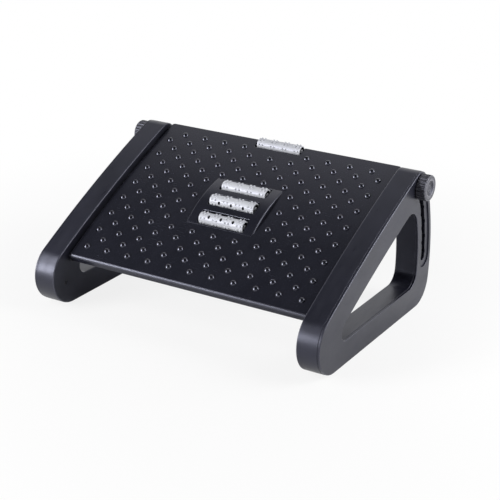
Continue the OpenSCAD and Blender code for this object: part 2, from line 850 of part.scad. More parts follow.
module knob() {
    body_r = knob_d / 2;
    hub_r = knob_hub_d / 2;
    dish_r = dish_d / 2;
    floor_r = dish_r * dish_floor_share;
    color(stand_black) at_point(rod_c) difference() {
        rotate([0, 90, 0]) rotate_extrude() polygon([
            [0, hub_x], [hub_r, hub_x], [hub_r, knob_x], [body_r, knob_x],
            [body_r, knob_end_x - knob_edge], [body_r - knob_edge, knob_end_x],
            [dish_r, knob_end_x], [floor_r, knob_end_x - dish_depth], [0, knob_end_x - dish_depth]
        ]);
        bar_x(nut_d, nut_x - over, nut_x + nut_l);
        for (i = [0 : flute_count - 1]) rotate([i * 360 / flute_count, 0, 0])
            translate([0, 0, body_r + flute_d * flute_out_share])
                bar_x(flute_d, knob_x - over, knob_end_x - knob_edge);
    }
}

module knob_nut() {
    color(brass) at_point(rod_c) difference() {
        bar_x(nut_d, nut_x, nut_x + nut_l);
        bar_x(nut_bore_d, 0, outer_x + knob_reach);
    }
}

left_of() shell();  // shell_left
shell();  // shell_right
left_of() cover();  // cover_left
cover();  // cover_right
left_of() cover_screws();  // cover_screws_left
cover_screws();  // cover_screws_right
left_of() pad(-1);  // pad_front_left
pad(-1);  // pad_front_right
left_of() pad(1);  // pad_rear_left
pad(1);  // pad_rear_right
left_of() pivot_bush();  // pivot_bush_left
pivot_bush();  // pivot_bush_right
pivot_rod();
footplate();
roller_at(roller_spots[0], roller_turns[0]);  // roller_front
roller_at(roller_spots[1], roller_turns[1]);  // roller_middle
roller_at(roller_spots[2], roller_turns[2]);  // roller_rear
roller_at(edge_spot, edge_roller_turn);  // roller_edge
axle_at(roller_spots[0]);  // axle_front
axle_at(roller_spots[1]);  // axle_middle
axle_at(roller_spots[2]);  // axle_rear
axle_at(edge_spot);  // axle_edge
roller_retainer();
retainer_screws();
height_rod();
left_of() rod_spacer();  // rod_spacer_left
rod_spacer();  // rod_spacer_right
left_of() washer();  // washer_left
washer();  // washer_right
left_of() knob();  // knob_left
knob();  // knob_right
left_of() knob_nut();  // knob_nut_left
knob_nut();  // knob_nut_right
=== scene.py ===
# %% [markdown]
# # A tilting under desk footrest
# Two side frames carry a bowed footplate. The plate turns on a rod near the floor, and a second
# rod at the back is clamped by two knobs in a notched slot. Three nubbed rollers stand in a
# raised island and a fourth in a notch of the rear edge.
# The measured solids come in as a fixed frame. Each piece that shows is then built again with the
# rounded edges and finishes of the moulded part, in the same place and at the same size.

# %% Load the frame
import math
import bmesh
import bpy
from mathutils import Matrix, Vector
from mathutils.geometry import tessellate_polygon


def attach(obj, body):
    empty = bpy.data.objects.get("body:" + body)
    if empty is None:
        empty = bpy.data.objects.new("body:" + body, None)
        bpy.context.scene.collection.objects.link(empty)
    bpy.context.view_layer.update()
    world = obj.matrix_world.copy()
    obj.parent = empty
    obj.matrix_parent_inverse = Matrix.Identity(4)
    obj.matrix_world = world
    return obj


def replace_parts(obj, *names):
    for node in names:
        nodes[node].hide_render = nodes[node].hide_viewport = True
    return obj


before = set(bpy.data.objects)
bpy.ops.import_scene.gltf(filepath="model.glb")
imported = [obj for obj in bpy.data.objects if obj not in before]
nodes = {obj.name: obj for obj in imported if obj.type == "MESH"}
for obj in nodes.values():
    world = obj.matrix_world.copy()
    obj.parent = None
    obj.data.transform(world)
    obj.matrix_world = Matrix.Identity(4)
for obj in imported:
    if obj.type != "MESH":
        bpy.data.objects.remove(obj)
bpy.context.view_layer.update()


def added(name, data):
    """A new object in the scene with this data."""
    thing = bpy.data.objects.new(name, data)
    bpy.context.collection.objects.link(thing)
    return thing


# %% [markdown]
# ## Sizes
# A moulded product is drawn from a few sizes. These are the ones that the visible pieces share,
# in millimetres. Lengths along the plate's slope are called t and heights square to it n, both
# from the rod that it turns on. That makes a bowed, tilted plate as easy as a level one.

# %% Sizes of the footrest
MM = 0.001
FRAME_GAP, FRAME_T, DEPTH, FOOT_H = 360.0, 31.5, 306.0, 1.0
REAR_R, NOSE_R, HEEL_R, STRIP_R = 265.1, 40.0, 36.0, 1950.0
PIVOT = Vector((DEPTH / 2 - REAR_R, 65.4))
COVER_T, SEAM, BAR_T = 3.2, 0.25, 37.8
WINDOW_REAR_R, SILL_Z, WINDOW_FRONT_R, WINDOW_CORNER_R = 224.5, 33.5, 12.0, 20.0
TILT, TILT_LOW, NOTCHES, SLOT_R = 25.8, 0.4, 6, 244.3
ROD_D, SLOT_PLAY, NOTCH_OFFSET, TRACK_HALF, TRACK_DEPTH = 8.0, 0.6, 1.0, 14.0, 1.6
PLATE_W, PLATE_L, PLATE_FRONT, CROWN, PLATE_R = 356.0, 272.0, 8.0, 15.0, 1700.0
SKIN_T, RIM_DEPTH, PLATE_CORNER_R, LIP_R = 3.0, 9.2, 4.0, 3.4
ISLAND_W, ISLAND_L, ISLAND_MID, ISLAND_RISE, ISLAND_R = 100.0, 90.0, 139.7, 4.9, 172.0
ROLLER_D, ROLLER_L, ROLLER_PITCH, ROLLER_SINK, ROLLER_DROP = 16.0, 66.0, 30.6, 2.3, 3.5
NUB_H, ROLLER_GAP, ROLLER_END_GAP = 1.3, 1.0, 2.0
EDGE_T, EDGE_N = 266.1 - PLATE_FRONT, 7.1
KNOB_D, KNOB_REACH, HUB_D, DISH_D, DISH_DEPTH = 34.0, 13.7, 25.0, 20.0, 2.4

T0, T1 = -PLATE_FRONT, PLATE_L - PLATE_FRONT
PLATE_C = ((T0 + T1) / 2, CROWN - PLATE_R)
ISLAND_T = ISLAND_MID - PLATE_FRONT
ISLAND_C = (ISLAND_T, CROWN + ISLAND_RISE - ISLAND_R)
BAY_HALF_L = ROLLER_D / 2 + NUB_H + ROLLER_GAP
BAY_HALF_W = ROLLER_L / 2 + ROLLER_END_GAP


def at(t, n):
    """A point of the slope, as (y, z) in millimetres."""
    a = math.radians(TILT)
    return Vector((PIVOT[0] + t * math.cos(a) - n * math.sin(a),
                   PIVOT[1] + t * math.sin(a) + n * math.cos(a)))


def plate_n(t):
    return PLATE_C[1] + math.sqrt(PLATE_R ** 2 - (t - PLATE_C[0]) ** 2)


def island_n(t):
    return ISLAND_C[1] + math.sqrt(ISLAND_R ** 2 - (t - ISLAND_T) ** 2)


print("rod behind the plate, y and z in mm:", [round(v, 1) for v in at(SLOT_R, 0)])

# %% [markdown]
# ## Camera
# A product photograph is taken with a long lens from a little above. The direction, the lens and
# the aim were found once by fitting the outlines of the side frames and the bumps. A camera could
# also track an empty, but a rotation built from its own three axes keeps the slight roll too.

# %% Place the camera
LENS_MM, SENSOR_MM = 97.05, 36.0
AZIMUTH, ELEVATION, ROLL = 31.07, 21.82, 0.70
DISTANCE, AIM_RIGHT, AIM_UP, AIM_Z = 1.7650, 0.0207, -0.0045, 0.080


def camera_axes(azimuth, elevation, roll):
    a, e, r = (math.radians(v) for v in (azimuth, elevation, roll))
    back = Vector((math.sin(a) * math.cos(e), -math.cos(a) * math.cos(e), math.sin(e)))
    right = (-back).cross(Vector((0, 0, 1))).normalized()
    up = right.cross(-back)
    return (right * math.cos(r) + up * math.sin(r), up * math.cos(r) - right * math.sin(r), back)


right, up, back = camera_axes(AZIMUTH, ELEVATION, ROLL)
flat_right, flat_up, _ = camera_axes(AZIMUTH, ELEVATION, 0)
camera_data = bpy.data.cameras.new("camera")
camera_data.lens, camera_data.sensor_width = LENS_MM, SENSOR_MM
camera = added("camera", camera_data)
camera.matrix_world = Matrix((right, up, back)).transposed().to_4x4()
aim = flat_right * AIM_RIGHT + flat_up * AIM_UP + Vector((0, 0, AIM_Z))
camera.location = back * DISTANCE + aim
bpy.context.scene.camera = camera
print("camera at", [round(v, 3) for v in camera.location])

# %% [markdown]
# ## Finishes as sums
# A moulded finish is a formula: a colour, a little unevenness at real sizes, and paler, smoother
# edges where hands and feet rub, whose paleness is also a painted highlight along the roundings.
# The nodes could be wired one by one, but with a value that adds and multiplies in Python each
# finish stays as short as its formula. Everything reads Object coordinates, so a grain of 0.4 mm is
# 0.4 mm on every piece.

# %% Shader values that add up
def feed(node, values):
    """Joins each value to the node's input of that name, or sets the input if it is a number."""
    for key, value in values.items():
        if isinstance(value, Wire):
            value.tree.links.new(value.socket, node.inputs[key])
        else:
            node.inputs[key].default_value = value


class Wire:
    """One value in a node tree, for use in sums."""

    def __init__(self, tree, socket):
        self.tree, self.socket = tree, socket

    def node(self, kind, settings, inputs, output=0):
        """Adds a node: its settings first, then its inputs. Gives one of its outputs."""
        node = self.tree.nodes.new(kind)
        for name, value in settings.items():
            setattr(node, name, value)
        feed(node, inputs)
        return Wire(self.tree, node.outputs[output])

    def sibling(self, output):
        """Another output of the node that this value comes from."""
        return Wire(self.tree, self.socket.node.outputs[output])

    def of(self, operation, other=0.0):
        return self.node("ShaderNodeMath", {"operation": operation}, {0: self, 1: other})

    def __add__(self, other):
        return self.of("ADD", other)

    def __sub__(self, other):
        return self.of("SUBTRACT", other)

    def __rsub__(self, other):
        return self.node("ShaderNodeMath", {"operation": "SUBTRACT"}, {0: other, 1: self})

    def __mul__(self, other):
        return self.of("MULTIPLY", other)

    def __truediv__(self, other):
        return self.of("DIVIDE", other)

    __radd__, __rmul__ = __add__, __mul__

    def own(self, name):
        """A value that the mesh carries under this name, or 0 where it has none."""
        return self.node("ShaderNodeAttribute", {"attribute_name": name}, {}, 2)

    def length(self):
        return self.node("ShaderNodeVectorMath", {"operation": "LENGTH"}, {0: self}, 1)

    def bump(self, distance, strength):
        """A normal from this height, for the Normal socket."""
        inputs = {"Height": self, "Distance": distance, "Strength": strength}
        return self.node("ShaderNodeBump", {}, inputs)

    def between(self, low, high):
        """0 below low, 1 above high, smooth in the middle."""
        settings = {"interpolation_type": "SMOOTHSTEP"}
        return self.node("ShaderNodeMapRange", settings, {0: self, 1: low, 2: high})

    def stretched(self, x, y, z):
        return self.node("ShaderNodeVectorMath", {"operation": "MULTIPLY"}, {0: self, 1: (x, y, z)})

    def noise(self, size, detail=3.0, rough=0.5):
        """Soft noise round 0.5 whose patches are about this many metres across."""
        inputs = {"Vector": self, "Scale": 1 / size, "Detail": detail, "Roughness": rough}
        return self.node("ShaderNodeTexNoise", {}, inputs)

    def tint(self, dark, light):
        """A colour between two, by this value. The first may be a value itself."""
        settings = {"data_type": "RGBA"}
        inputs = {"Factor": self, 6: dark if isinstance(dark, Wire) else (*dark, 1), 7: (*light, 1)}
        return self.node("ShaderNodeMix", settings, inputs, 2)


def new_material(name):
    """An empty material with its Principled shader, and its Object coordinates as a value."""
    material = bpy.data.materials.new(name)
    material.use_nodes = True
    tree = material.node_tree
    shader = tree.nodes["Principled BSDF"]
    coordinates = tree.nodes.new("ShaderNodeTexCoord")
    return material, shader, Wire(tree, coordinates.outputs["Object"])


print("shader values ready")

# %% [markdown]
# ## Moulded plastic
# Most of the finishes are one plastic with other numbers. The mould's texture gives a fine grain,
# cooling leaves broad, faint clouds, wiping leaves long streaks in the gloss, and use leaves a few
# thin scuffs and polished edges. The rounded edges of the pieces carry a value called edge that
# is 1 in the middle of the rounding, so wear can follow it; their paler colour there is partly wear
# and partly a painted highlight. A value called hollow is 1 deep inside a roller, and there the
# colour is darkened as painted shade.

# %% Plastic finishes
# A near-black tone painted as shade deep in the rollers' holes and cups.
HOLLOW_SHADE_COLOUR = (0.012, 0.012, 0.013)
SHEEN = (0.78, 0.80, 1.0, 1.0)


def plastic(name, dark, light, rough, grain, depth, streak, wear, specular=0.5):
    """Moulded plastic: two close tones, a roughness, a grain of this size and depth in metres."""
    material, shader, place = new_material(name)
    edge, hollow = place.own("edge"), place.own("hollow").between(0.02, 0.3)
    clouds = place.noise(0.045, 2.0).between(0.3, 0.7)
    fine = place.noise(grain, 2.0, 0.6)
    wiped = place.stretched(1.0, 0.12, 0.3).noise(0.006, 4.0, 0.6)
    scuffs = place.stretched(0.06, 1.0, 1.0).noise(0.0011, 1.0).between(0.66, 0.72)
    scuffs = scuffs * place.noise(0.03, 1.0).between(0.52, 0.66)
    # Paler edges: partly rubbed wear, partly a painted highlight along the roundings.
    worn_and_highlit = edge * (0.45 + 0.55 * place.noise(0.004, 3.0)) * wear
    tone = clouds * 0.45 + fine * 0.35 + scuffs * 0.35 * wear
    # The edge colour, far paler than the plastic: wear and painted highlight together.
    rubbed_and_highlit = [2.5 * value + 0.05 for value in light]
    shown = worn_and_highlit.tint(tone.tint(dark, light), rubbed_and_highlit)
    gloss = rough + (wiped - 0.5) * streak + (fine - 0.5) * 0.12 + scuffs * 0.12 - worn_and_highlit * 0.14
    height = fine + scuffs * -0.4 + place.noise(0.012, 2.0) * 2.5
    # Deep in the holes and cups the colour goes to the dark tone: painted shade.
    feed(shader, {"Base Color": hollow.tint(shown, HOLLOW_SHADE_COLOUR), "Roughness": gloss,
                  "Specular Tint": SHEEN, "Specular IOR Level": specular,
                  "Normal": height.bump(depth, 0.6)})
    return material


STAND = plastic(
    "stand plastic", (0.007, 0.0075, 0.012), (0.017, 0.0175, 0.027),
    0.34, 0.00045, 0.00003, 0.30, 0.9, 0.54)
PLATE = plastic(
    "plate plastic", (0.007, 0.0075, 0.012), (0.013, 0.0135, 0.020),
    0.22, 0.0006, 0.000012, 0.12, 0.7)
# The bumps are the plate's plastic with a far darker colour, a painted shade for their dark cores;
# the low roughness and strong reflection are their polish.
SHADE_DARKENED_BUMP = plastic(
    "bump plastic darkened as shade", (0.001, 0.0012, 0.002), (0.003, 0.0032, 0.005),
    0.10, 0.0006, 0.000004, 0.04, 0.2, 0.95)
UNDERSIDE = plastic(
    "plate plastic underneath", (0.007, 0.008, 0.011), (0.013, 0.014, 0.018),
    0.42, 0.0006, 0.00002, 0.10, 0.0)
KNOB = plastic(
    "knob plastic", (0.020, 0.020, 0.025), (0.042, 0.042, 0.050),
    0.42, 0.0004, 0.00002, 0.12, 1.0)
ROLLER = plastic(
    "roller plastic", (0.48, 0.49, 0.53), (0.63, 0.64, 0.68),
    0.30, 0.0008, 0.000012, 0.16, 0.15)
NYLON = plastic(
    "bush nylon", (0.010, 0.010, 0.012), (0.020, 0.020, 0.023),
    0.42, 0.0005, 0.00001, 0.12, 0.1)
BLACK_ZINC = plastic(
    "black zinc", (0.010, 0.010, 0.012), (0.022, 0.022, 0.024),
    0.34, 0.0004, 0.000008, 0.10, 0.4)
RUBBER = plastic(
    "pad rubber", (0.012, 0.012, 0.012), (0.024, 0.024, 0.024),
    0.82, 0.0006, 0.00004, 0.06, 0.0, 0.3)
print("plastics:", [m.name for m in (STAND, PLATE, KNOB, ROLLER, NYLON, BLACK_ZINC, RUBBER)])

# %% [markdown]
# ## Metal
# The rods are turned and zinc plated: fine lines run round them, and the plating is a little
# cloudy. A metal's colour is its reflection, so Metallic is 1 and the unevenness goes mostly into
# the roughness. The nuts in the knobs are brass.

# %% Metal finishes
def metal(name, dark, light, rough):
    material, shader, place = new_material(name)
    lines = place.stretched(1.0, 0.05, 0.05).noise(0.0002, 2.0)
    clouds = place.noise(0.006, 3.0)
    feed(shader, {"Base Color": (clouds * 0.7 + lines * 0.3).tint(dark, light), "Metallic": 1.0,
                  "Roughness": rough + (clouds - 0.5) * 0.2 + (lines - 0.5) * 0.12,
                  "Normal": lines.bump(0.000004, 0.5)})
    return material


STEEL = metal("zinc plated steel", (0.46, 0.47, 0.49), (0.66, 0.67, 0.68), 0.28)
BRASS = metal("turned brass", (0.55, 0.40, 0.16), (0.72, 0.55, 0.24), 0.30)
print("metals:", STEEL.name, BRASS.name)

# %% [markdown]
# ## Rings, walls and lids
# Nearly every piece here is a flat outline given thickness, with softly rounded edges. So the
# shapes are built from rings: copies of one outline, a little further in at each step of the
# rounding, joined by walls and closed by lids with holes. Roundings up to 0.55 mm lie in grooves,
# where nothing rubs them, so they get neither the paler worn colour nor the painted highlight. A
# Bevel modifier on a plain solid could do it too, but where a slot, a track and a window come
# close together it leaves torn corners.

# %% Solids out of rings
GROOVE_R = 0.55


def quarter(steps):
    """Angles from 0 to a right angle."""
    return [math.pi / 2 * k / steps for k in range(steps + 1)]


def written(mesh, data):
    """Turns the faces of a bmesh outwards and writes it into a plain mesh."""
    bmesh.ops.recalc_face_normals(mesh, faces=mesh.faces[:])
    mesh.to_mesh(data)
    mesh.free()
    return data


class Block:
    """Gathers a solid from outlines in u and v at heights h, then puts it in its place."""

    def __init__(self):
        self.mesh = bmesh.new()
        self.edge = self.mesh.verts.layers.float.new("edge")

    def ring(self, points, h, edge=0.0):
        ring = [self.mesh.verts.new((p[0], p[1], h)) for p in points]
        for vert in ring:
            vert[self.edge] = edge
        return ring

    def wall(self, low, high):
        for i in range(len(low)):
            self.mesh.faces.new((low[i - 1], low[i], high[i], high[i - 1]))

    def stack(self, rings):
        """Joins rings by walls in their order. Gives the first and the last."""
        for low, high in zip(rings, rings[1:]):
            self.wall(low, high)
        return rings[0], rings[-1]

    def side(self, outline, h0, h1, r0=0.0, r1=0.0, steps=5):
        """A wall from h0 to h1 whose edges are rounded by r0 and r1. Gives its end rings."""
        inward = 1 if h1 > h0 else -1
        ends = ((h0, r0, inward, quarter(steps)), (h1, r1, -inward, quarter(steps)[::-1]))
        return self.stack([
            self.ring(outline(r - r * math.sin(a)), h + way * (r - r * math.cos(a)),
                      math.sin(2 * a) if r > GROOVE_R else 0.0)
            for h, r, way, turns in ends for a in (turns if r else [math.pi / 2])])

    def lid(self, *rings):
        """Closes the first ring, leaving the others open as holes."""
        verts = [v for ring in rings for v in ring]
        for corners in tessellate_polygon([[v.co for v in ring] for ring in rings]):
            self.mesh.faces.new([verts[i] for i in corners])

    def slice(self, stations):
        """Cuts everything at these values of v, so that it can be bowed along v."""
        for v in stations:
            geometry = [*self.mesh.verts, *self.mesh.edges, *self.mesh.faces]
            bmesh.ops.bisect_plane(self.mesh, geom=geometry, plane_co=(0, v, 0), plane_no=(0, 1, 0))

    def data(self, name, place):
        """Moves every point by place(u, v, h), in millimetres, and gives the plain mesh."""
        for vert in self.mesh.verts:
            vert.co = Vector(place(*vert.co)) * MM
        bmesh.ops.remove_doubles(self.mesh, verts=self.mesh.verts[:], dist=1e-7)
        return written(self.mesh, bpy.data.meshes.new(name))

    def finish(self, name, material, place, sharp=35.0):
        return as_object(name, self.data(name, place), material, sharp)


def as_object(name, data, material, sharp=35.0):
    """A smooth object at the origin whose edges above this angle, in degrees, stay sharp."""
    data.materials.clear()
    data.materials.append(material)
    data.shade_smooth()
    data.set_sharp_from_angle(angle=math.radians(sharp))
    piece = added(name, data)
    weighted = piece.modifiers.new("weighted normals", "WEIGHTED_NORMAL")
    weighted.keep_sharp = True
    return piece


def turn(angle):
    return Vector((math.cos(math.radians(angle)), math.sin(math.radians(angle))))


def heading(v):
    return math.degrees(math.atan2(v[1], v[0]))


def arc(c, r, a0, a1, steps):
    """Points from angle a0 to a1 about c, both ends included."""
    return [c + r * turn(a0 + (a1 - a0) * i / steps) for i in range(steps + 1)]


def rounded_path(corners, steps=6):
    """Points with outward normals along a path of corners (u, v, radius), counter-clockwise."""
    path = []
    for i, (u, v, r) in enumerate(corners):
        p = Vector((u, v))
        a = (p - Vector(corners[i - 1][:2])).normalized()
        b = (Vector(corners[(i + 1) % len(corners)][:2]) - p).normalized()
        bend = math.degrees(math.atan2(a.x * b.y - a.y * b.x, a.dot(b)))
        way = 1 if bend > 0 else -1
        c = p - a * r * math.tan(math.radians(abs(bend) / 2)) + Vector((-a.y, a.x)) * way * r
        for k in range(steps + 1):
            normal = turn(heading((a.y, -a.x)) + bend * k / steps)
            path.append((c + way * r * normal, normal))
    return path


def inset(path):
    """An outline of the path, further in by d, for Block.side."""
    return lambda d: [p - d * normal for p, normal in path]


def grown(path):
    """The same for a hole, whose rounding opens outwards."""
    return lambda d: [p + d * normal for p, normal in path]


print("solids ready")

# %% [markdown]
# ## Lines of the side frame
# The frame is drawn with arcs that run smoothly into each other: the long strip along the
# footplate, a round nose, a round heel, the rear edge and a small round at the top. Two arcs meet
# without a kink when their centres and the meeting point lie on one line, so every centre follows
# from that rule. The window uses the same arcs with other radii.

# %% Outlines of the frame
def crossing(c1, r1, c2, r2):
    """The upper of the two points where two circles cross."""
    gap = c2 - c1
    d = gap.length
    a = (d * d + r1 * r1 - r2 * r2) / (2 * d)
    u = gap / d
    v = Vector((-u.y, u.x)) * math.sqrt(r1 * r1 - a * a)
    return max(c1 + a * u + v, c1 + a * u - v, key=lambda p: p.y)


def beside(c, reach, z):
    """The point to the right of c at height z, at this reach."""
    return Vector((c[0] + math.sqrt(reach ** 2 - (z - c[1]) ** 2), z))


NOSE_C = Vector((-DEPTH / 2 + NOSE_R, FOOT_H + NOSE_R))
MID = at(SLOT_R / 2, 0)
SQUARE_TO = turn(TILT + 90)
LEAN = (MID - NOSE_C).dot(SQUARE_TO)
STRIP_C = MID - SQUARE_TO * (LEAN + math.sqrt(
    LEAN ** 2 - (MID - NOSE_C).length_squared + (STRIP_R - NOSE_R) ** 2))
TOP_R = REAR_R - SLOT_R
TOP_C = crossing(PIVOT, REAR_R - TOP_R, STRIP_C, STRIP_R - TOP_R)
HEEL_C = beside(PIVOT, REAR_R - HEEL_R, FOOT_H + HEEL_R)
WINDOW_R = STRIP_R - BAR_T
FRONT_C = Vector((2 * STRIP_C.x, 0)) - beside(
    STRIP_C, WINDOW_R - WINDOW_FRONT_R, -SILL_Z - WINDOW_FRONT_R + 2 * STRIP_C.y)
FRONT_C.y = SILL_Z + WINDOW_FRONT_R
SILL_C = beside(PIVOT, WINDOW_REAR_R - WINDOW_CORNER_R, SILL_Z + WINDOW_CORNER_R)
PEAK_C = crossing(PIVOT, WINDOW_REAR_R - WINDOW_CORNER_R, STRIP_C, WINDOW_R - WINDOW_CORNER_R)


def five_arcs(front, heel, top, strip_r, rear_r):
    """A closed outline through three round corners, each (centre, radius)."""
    (nc, nr), (hc, hr), (tc, tr) = front, heel, top
    return (arc(nc, nr, heading(nc - STRIP_C), 270, 30)
            + arc(hc, hr, -90, heading(hc - PIVOT), 18)
            + arc(PIVOT, rear_r, heading(hc - PIVOT), heading(tc - PIVOT), 30)[1:-1]
            + arc(tc, tr, heading(tc - PIVOT), heading(tc - STRIP_C), 18)
            + arc(STRIP_C, strip_r, heading(tc - STRIP_C), heading(nc - STRIP_C), 24)[1:-1])


def frame_outline(d):
    return five_arcs((NOSE_C, NOSE_R - d), (HEEL_C, HEEL_R - d), (TOP_C, TOP_R - d),
                     STRIP_R - d, REAR_R - d)


def window_outline(g):
    return five_arcs((FRONT_C, WINDOW_FRONT_R + g), (SILL_C, WINDOW_CORNER_R + g),
                     (PEAK_C, WINDOW_CORNER_R + g), WINDOW_R + g, WINDOW_REAR_R + g)


STEP = (TILT - TILT_LOW) / (NOTCHES - 1)
NOTCH_ANGLES = [TILT_LOW + i * STEP for i in range(NOTCHES)]
BULGE_ANGLES = [a + 0.28 * STEP for a in NOTCH_ANGLES[:-1]]


def slot_outline(g):
    """The curved slot with a pocket for the rod at each notch, all round larger by g."""
    half, r = ROD_D / 2 + SLOT_PLAY + g, ROD_D / 2 + 1.5 * SLOT_PLAY + g
    meet = (NOTCH_OFFSET ** 2 + r * r - half * half) / (2 * NOTCH_OFFSET)
    rise = math.sqrt(r * r - meet * meet)
    cap, pocket = heading((meet - NOTCH_OFFSET, rise)), heading((meet, rise))

    def dent(way, angle):
        """Where a pocket or bulge meets the band's edge, seen from the pivot and from itself."""
        c, edge = SLOT_R + way * NOTCH_OFFSET, SLOT_R + way * half
        share = math.acos((c * c + edge * edge - r * r) / (2 * c * edge))
        own = heading((edge * math.cos(share) - c, edge * math.sin(share)))
        return PIVOT + c * turn(angle), own, math.degrees(share)

    def band(way, a0, a1):
        return arc(PIVOT, SLOT_R + way * half, a0, a1, 4)[1:-1]

    low, high = NOTCH_ANGLES[0], NOTCH_ANGLES[-1]
    points = arc(PIVOT + SLOT_R * turn(low), half, low - cap, low, 6)
    last = low
    for a in BULGE_ANGLES:
        c, own, share = dent(1, a)
        points += band(1, last, a - share) + arc(c, r, a - own, a + own, 8)
        last = a + share
    points += band(1, last, high) + arc(PIVOT + SLOT_R * turn(high), half, high, high + cap, 6)
    c, own, share = dent(-1, high)
    points += arc(c, r, high + pocket, high + 360 - own, 12)[1:]
    last = high - share
    for a in NOTCH_ANGLES[-2::-1]:
        c, own, share = dent(-1, a)
        end = 360 - own if a > low else 360 - pocket
        points += band(-1, last, a + share) + arc(c, r, a + own, a + end, 8 if a > low else 12)
        last = a - share
    return points[:-1]


def track_outline(g):
    """The smooth recess round the slot that the washer slides in."""
    half, low, high = TRACK_HALF + g, NOTCH_ANGLES[0], NOTCH_ANGLES[-1]
    return (arc(PIVOT + SLOT_R * turn(low), half, low - 180, low, 24)
            + arc(PIVOT, SLOT_R + half, low, high, 24)[1:-1]
            + arc(PIVOT + SLOT_R * turn(high), half, high, high + 180, 24)
            + arc(PIVOT, SLOT_R - half, high, low, 24)[1:-1])


def circle_at(c, r, steps=32):
    return lambda g: arc(c, r + g, 0, 360, steps)[:-1]


ys, zs = zip(*frame_outline(0))
print("frame from y", round(min(ys), 1), "to", round(max(ys), 1), "and up to", round(max(zs), 1))

# %% [markdown]
# ## Side frames
# Each frame is a box-like shell with a thin cover screwed on from inside, and the joint between
# them is a fine groove that runs all round. Modelling the two apart gives that groove its own
# shadow. The cover carries the recessed track and the notched slot; the shell has the rounded
# inner edge, five screw seats and the hole for the pivot bush. The arcs here have more steps than
# the solid's, so the shell is drawn 0.03 mm smaller and stays inside it.

# %% Build the side frames
INNER_X = FRAME_GAP / 2
OUTER_X = INNER_X + FRAME_T
SPLIT_X = OUTER_X - COVER_T
TRACK_X = OUTER_X - TRACK_DEPTH
LOW_BAR_Z = (FOOT_H + SILL_Z) / 2


def bar_point(share):
    line = (at(SLOT_R * share, 0) - STRIP_C).normalized()
    return STRIP_C + line * (STRIP_R - BAR_T / 2)


SCREWS = [bar_point(0.24), bar_point(0.7), NOSE_C + NOSE_R * Vector((-0.36, -0.2)),
          Vector((0.02 * DEPTH, LOW_BAR_Z)), HEEL_C + HEEL_R * Vector((0.02, -0.22))]
SCREW_SEAT_D, SCREW_SEAT_T, BUSH_D, BUSH_L = 6.1, 2.0, 10.0, 12.0
FINER = 0.03
SHELL_R, SHELL_WINDOW_R, SHELL_SLOT_R, BORE_R = 1.6, 1.0, 0.4, 0.3
COVER_R, COVER_WINDOW_R, TRACK_R, COVER_SLOT_R = 1.1, 0.8, 0.5, 0.35


def on_side(way, c=(0.0, 0.0)):
    """The place for what is drawn about c in the frame's plane, with h outwards on this side."""
    return lambda u, v, h: (way * h, c[0] + u, c[1] + v)


def frame_shell(way):
    block = Block()
    outer = block.side(lambda d: frame_outline(FINER + d), INNER_X, SPLIT_X, SHELL_R, GROOVE_R)
    window = block.side(window_outline, INNER_X, SPLIT_X, SHELL_WINDOW_R, GROOVE_R)
    slot = block.side(slot_outline, INNER_X, SPLIT_X, SHELL_SLOT_R)
    bush = block.side(circle_at(PIVOT, BUSH_D / 2), INNER_X, INNER_X + BUSH_L, BORE_R)
    block.lid(bush[1])
    seats = []
    for p in SCREWS:
        seat = block.side(circle_at(p, SCREW_SEAT_D / 2), INNER_X, INNER_X + SCREW_SEAT_T, BORE_R)
        block.lid(seat[1])
        seats.append(seat[0])
    block.lid(outer[0], window[0], slot[0], bush[0], *seats)
    block.lid(outer[1], window[1], slot[1])
    return block.finish("frame_shell_" + SIDE_NAMES[way], STAND, on_side(way))


def frame_cover(way):
    block = Block()
    outer = block.side(lambda d: frame_outline(SEAM + d), SPLIT_X, OUTER_X, GROOVE_R, COVER_R)
    window = block.side(lambda d: window_outline(SEAM + d), SPLIT_X, OUTER_X,
                        GROOVE_R, COVER_WINDOW_R)
    track = block.side(track_outline, TRACK_X, OUTER_X, 0.0, TRACK_R)
    slot = block.side(slot_outline, SPLIT_X, TRACK_X, 0.0, COVER_SLOT_R)
    block.lid(outer[1], window[1], track[1])
    block.lid(track[0], slot[1])
    block.lid(outer[0], window[0], slot[0])
    return block.finish("frame_cover_" + SIDE_NAMES[way], STAND, on_side(way))


SIDE_NAMES = {-1: "left", 1: "right"}
for way, side in SIDE_NAMES.items():
    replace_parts(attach(frame_shell(way), "stand"), "shell_" + side)
    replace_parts(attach(frame_cover(way), "stand"), "cover_" + side)
print("two shells and two covers")

# %% [markdown]
# ## Footplate
# The plate is an upturned tray: a skin with a rim, bowed along its slope, rolled over at the
# front lip and notched at the rear for the fourth roller. It is drawn flat as rings, cut into
# thin strips and then bowed. A lattice or a Simple Deform modifier would bow it as well, but
# then the bow couldn't be the measured arc. The ribs and lugs underneath come from the solid.

# %% Build the footplate
HALF_W = PLATE_W / 2
HALF_ISLAND_W, HALF_ISLAND_L = ISLAND_W / 2, ISLAND_L / 2
NOTCH_T = EDGE_T - BAY_HALF_L
WALL = SKIN_T + 0.05
PLATE_STRIP, ISLAND_STRIP = 8, 4
RIM_R, LIP_BLEND, NOTCH_CORNER_R, BAY_CORNER_R = 1.3, 12, 1.5, 1.0
ISLAND_CORNER_R, CREST_R, BAY_R, OVERLAP = 2.0, 2.0, 0.8, 1.5
LEVEL = 100.0
NEAR, SAME = 0.5, 0.1


def slope_place(x, t, h):
    """From across, along and above the bowed top to the real place."""
    return (x, *at(t, plate_n(t) + h))


def upright_box(half_u, v0, v1, r):
    return rounded_path([(-half_u, v0, r), (half_u, v0, r), (half_u, v1, r), (-half_u, v1, r)])


def island_box(shrink, r):
    """The island's outline from above, smaller by this much all round."""
    half_l = HALF_ISLAND_L - shrink
    return upright_box(HALF_ISLAND_W - shrink, ISLAND_T - half_l, ISLAND_T + half_l, r)


def rim_radius(p):
    """The rounding along the top edge: a rolled lip in front, a small round elsewhere."""
    share = min(max((p[1] - T0) / LIP_BLEND, 0), 1)
    return LIP_R + (RIM_R - LIP_R) * share * share * (3 - 2 * share)


